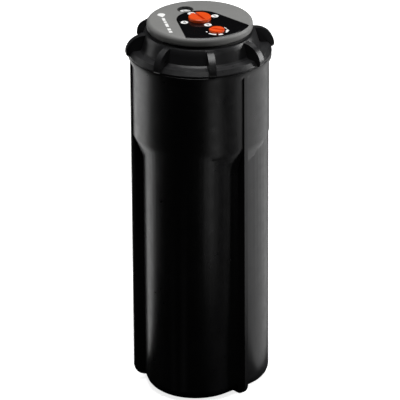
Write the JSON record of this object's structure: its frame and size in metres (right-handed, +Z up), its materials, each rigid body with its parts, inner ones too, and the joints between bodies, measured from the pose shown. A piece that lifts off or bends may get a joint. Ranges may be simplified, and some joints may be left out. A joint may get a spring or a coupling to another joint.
{
  "type": "pop-up rotor sprinkler",
  "caption": "Ribbed black pop-up sprinkler with a screw cap, sprung riser, geared turret, grey lid and orange selector knobs; bottom threaded inlet.",
  "frame": {"origin": "centre of the base's underside, on the inlet axis", "axes": "+Z up along the riser towards the lid; one cap lug and one casing lobe lie on +X"},
  "size_m": [0.0918, 0.0918, 0.2422],
  "materials": {
    "black_plastic": "fine moulded grain, satin",
    "blue_plastic": "satin",
    "brass": "machined",
    "charcoal_plastic": "satin",
    "gear_plastic": "satin, natural acetal",
    "green_plastic": "satin",
    "grey_lid": "fine moulded grain",
    "grey_plastic": "satin",
    "natural_plastic": "satin, natural acetal",
    "orange_plastic": "moulded, semi-gloss",
    "panel_black": "printed panel, semi-gloss",
    "red_plastic": "satin",
    "rubber": "nitrile, matte",
    "spring_steel": "drawn stainless wire",
    "steel": "stainless",
    "white_plastic": "satin"
  },
  "bodies": {
    "casing": {"housing": "black_plastic", "screw_cap": "black_plastic", "cap_gasket": "rubber", "wiper_seal": "rubber", "spring_washer": "steel", "retract_spring": "spring_steel"},
    "riser": {"riser_tube": "black_plastic", "guide_ring": "charcoal_plastic", "stop_sleeve": "charcoal_plastic", "filter_basket": "grey_plastic", "filter_cap": "charcoal_plastic", "stator_plate": "natural_plastic", "bypass_spring": "spring_steel", "gear_case": "blue_plastic", "gear_case_cover": "blue_plastic", "case_screws": "steel", "side_axle": "steel", "shaft_seal": "rubber", "bearing_plate": "natural_plastic", "trip_spring": "spring_steel", "stem_seal": "rubber", "thrust_washer": "brass"},
    "bypass": {"bypass_valve": "natural_plastic"},
    "turbine": {"turbine_rotor": "natural_plastic", "turbine_shaft": "steel", "turbine_pinion": "brass"},
    "idler_1": {"idler_gear_1": "gear_plastic"},
    "idler_2": {"idler_gear_2": "gear_plastic"},
    "idler_3": {"idler_gear_3": "gear_plastic"},
    "idler_4": {"idler_gear_4": "gear_plastic"},
    "idler_5": {"idler_gear_5": "gear_plastic"},
    "lever": {"trip_lever": "red_plastic"},
    "head": {"turret": "black_plastic", "turret_collar": "grey_plastic", "lid": "grey_lid", "lid_panel": "panel_black", "output_gear": "gear_plastic", "clutch_hub": "orange_plastic", "retainer_clip": "steel", "range_seal": "rubber", "sector_sleeve": "rubber"},
    "selector": {"selector_knob": "orange_plastic", "nozzle_drum": "natural_plastic", "drum_seals": "rubber", "nozzle_1": "charcoal_plastic", "nozzle_2": "charcoal_plastic", "nozzle_3": "charcoal_plastic", "nozzle_4": "charcoal_plastic"},
    "range_knob": {"range_dial": "orange_plastic"},
    "range_needle": {"range_screw": "steel"},
    "sector_spindle": {"sector_dial": "white_plastic", "sector_shaft": "natural_plastic"},
    "sector_stop": {"sector_ring": "green_plastic"}
  },
  "joints": [
    {"name": "riser_slide", "type": "slide", "parent": "casing", "child": "riser", "axis": [0, 0, 1], "range_m": [0, 0.1], "stiffness_N_per_m": 320, "springref_m": -0.09, "deforming": ["retract_spring"]},
    {"name": "bypass_slide", "type": "slide", "parent": "riser", "child": "bypass", "axis": [0, 0, 1], "range_m": [0, 0.0025], "stiffness_N_per_m": 400, "springref_m": -0.002, "deforming": ["bypass_spring"]},
    {"name": "turbine_spin", "type": "hinge", "parent": "riser", "child": "turbine", "pos_m": [0, 0, 0.118], "axis": [0, 0, 1], "range_deg": [-193273.53, 193273.53]},
    {"name": "idler_1_spin", "type": "hinge", "parent": "riser", "child": "idler_1", "pos_m": [0.0105, 0, 0.137], "axis": [0, 0, 1], "range_deg": [-60404.02, 60404.02]},
    {"name": "idler_2_spin", "type": "hinge", "parent": "riser", "child": "idler_2", "pos_m": [0, 0, 0.141], "axis": [0, 0, 1], "range_deg": [-18876.26, 18876.26]},
    {"name": "idler_3_spin", "type": "hinge", "parent": "riser", "child": "idler_3", "pos_m": [0.0105, 0, 0.145], "axis": [0, 0, 1], "range_deg": [-5898.83, 5898.83]},
    {"name": "idler_4_spin", "type": "hinge", "parent": "riser", "child": "idler_4", "pos_m": [0, 0, 0.149], "axis": [0, 0, 1], "range_deg": [-1843.38, 1843.38]},
    {"name": "idler_5_spin", "type": "hinge", "parent": "riser", "child": "idler_5", "pos_m": [0.0105, 0, 0.153], "axis": [0, 0, 1], "range_deg": [-576.06, 576.06]},
    {"name": "head_turn", "type": "hinge", "parent": "riser", "child": "head", "pos_m": [0, 0, 0.2], "axis": [0, 0, 1], "range_deg": [-180, 180]},
    {"name": "trip_swing", "type": "hinge", "parent": "riser", "child": "lever", "pos_m": [0.018, 0, 0.18], "axis": [0, 0, 1], "range_deg": [-12, 12]},
    {"name": "selector_turn", "type": "hinge", "parent": "head", "child": "selector", "pos_m": [0, 0, 0.24], "axis": [0, 0, 1], "range_deg": [0, 270]},
    {"name": "range_turn", "type": "hinge", "parent": "head", "child": "range_knob", "pos_m": [0.00682, -0.0205, 0.24], "axis": [0, 0, -1], "range_deg": [0, 270]},
    {"name": "range_slide", "type": "slide", "parent": "head", "child": "range_needle", "axis": [0, 0, -1], "range_m": [0, 0.0055]},
    {"name": "sector_turn", "type": "hinge", "parent": "head", "child": "sector_spindle", "pos_m": [-0.00581, 0.01746, 0.238], "axis": [0, 0, 1], "range_deg": [-1100, 1100]},
    {"name": "sector_ring_turn", "type": "hinge", "parent": "head", "child": "sector_stop", "pos_m": [0, 0, 0.184], "axis": [0, 0, 1], "range_deg": [-163.1, 163.1]}
  ],
  "couplings": [
    {"joint": "idler_1_spin", "follows": "turbine_spin", "ratio": -0.3125},
    {"joint": "idler_2_spin", "follows": "turbine_spin", "ratio": 0.097656},
    {"joint": "idler_3_spin", "follows": "turbine_spin", "ratio": -0.030518},
    {"joint": "idler_4_spin", "follows": "turbine_spin", "ratio": 0.0095367},
    {"joint": "idler_5_spin", "follows": "turbine_spin", "ratio": -0.0029802},
    {"joint": "head_turn", "follows": "turbine_spin", "ratio": 0.00093132},
    {"joint": "range_turn", "follows": "range_slide", "rad_per_m": 856.8},
    {"joint": "sector_ring_turn", "follows": "sector_turn", "ratio": 0.14815}
  ]
}
